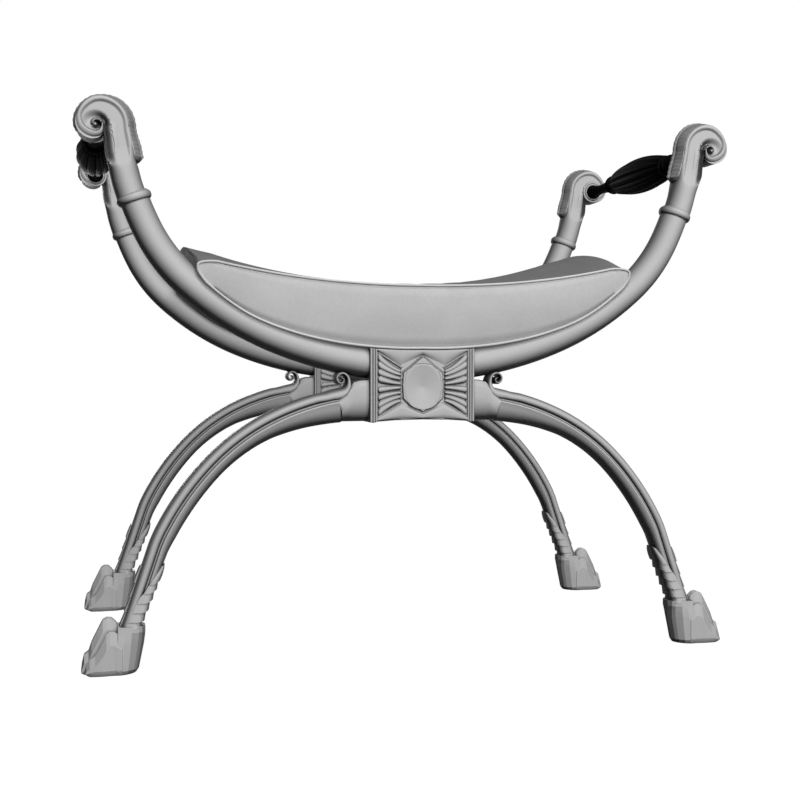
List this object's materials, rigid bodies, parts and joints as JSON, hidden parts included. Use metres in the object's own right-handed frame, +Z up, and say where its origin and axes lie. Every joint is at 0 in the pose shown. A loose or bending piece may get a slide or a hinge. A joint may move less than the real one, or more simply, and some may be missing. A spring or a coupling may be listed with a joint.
{
  "type": "curule window seat",
  "caption": "Backless window seat with X-shaped scrolled frames, paw feet, turned rails between the scroll heads and a saddled lift-out upholstered seat.",
  "frame": {"origin": "on the floor, under the middle of the seat", "axes": "+X along the seat to the right, +Y from the front frame to the rear frame, +Z up"},
  "size_m": [0.8272, 0.4508, 0.6788],
  "materials": {
    "frame_grey": "satin stone-grey paint on carved wood",
    "rail_black": "ebonised and polished",
    "seat_cover": "plain grey woven cover",
    "piping": "covered cord in the seat's fabric",
    "beech": "planed and unpolished",
    "dust_cloth": "plain black lining cloth"
  },
  "bodies": {
    "frame": {"arm_front_left": "frame_grey", "arm_front_right": "frame_grey", "arm_rear_left": "frame_grey", "arm_rear_right": "frame_grey", "collar_front_left": "frame_grey", "collar_front_right": "frame_grey", "collar_rear_left": "frame_grey", "collar_rear_right": "frame_grey", "scroll_head_front_left": "frame_grey", "scroll_head_front_right": "frame_grey", "scroll_head_rear_left": "frame_grey", "scroll_head_rear_right": "frame_grey", "scroll_leaf_front_left": "frame_grey", "scroll_leaf_front_right": "frame_grey", "scroll_leaf_rear_left": "frame_grey", "scroll_leaf_rear_right": "frame_grey", "scroll_eyes": "frame_grey", "leg_front_left": "frame_grey", "leg_front_right": "frame_grey", "leg_rear_left": "frame_grey", "leg_rear_right": "frame_grey", "foot_front_left": "frame_grey", "foot_front_right": "frame_grey", "foot_rear_left": "frame_grey", "foot_rear_right": "frame_grey", "inner_wing_front_left": "frame_grey", "inner_wing_front_right": "frame_grey", "inner_wing_rear_left": "frame_grey", "inner_wing_rear_right": "frame_grey", "outer_wing_front_left": "frame_grey", "outer_wing_front_right": "frame_grey", "outer_wing_rear_left": "frame_grey", "outer_wing_rear_right": "frame_grey", "block_front": "frame_grey", "block_rear": "frame_grey", "panel_front_outer": "frame_grey", "panel_front_inner": "frame_grey", "panel_rear_outer": "frame_grey", "panel_rear_inner": "frame_grey", "rail_left": "rail_black", "rail_right": "rail_black", "rail_bulb_left": "rail_black", "rail_bulb_right": "rail_black", "rail_rosettes_left": "frame_grey", "rail_rosettes_right": "frame_grey", "stretcher": "frame_grey", "seat_bearer_left": "beech", "seat_bearer_right": "beech", "bearer_dowels": "beech"},
    "seat": {"seat_cushion": "seat_cover", "seat_welt_front": "piping", "seat_welt_rear": "piping", "seat_board": "beech", "seat_dust_cover": "dust_cloth"}
  },
  "joints": [
    {"name": "seat_lift", "type": "slide", "parent": "frame", "child": "seat", "axis": [0, 0, 1], "range_m": [0, 0.3]}
  ]
}
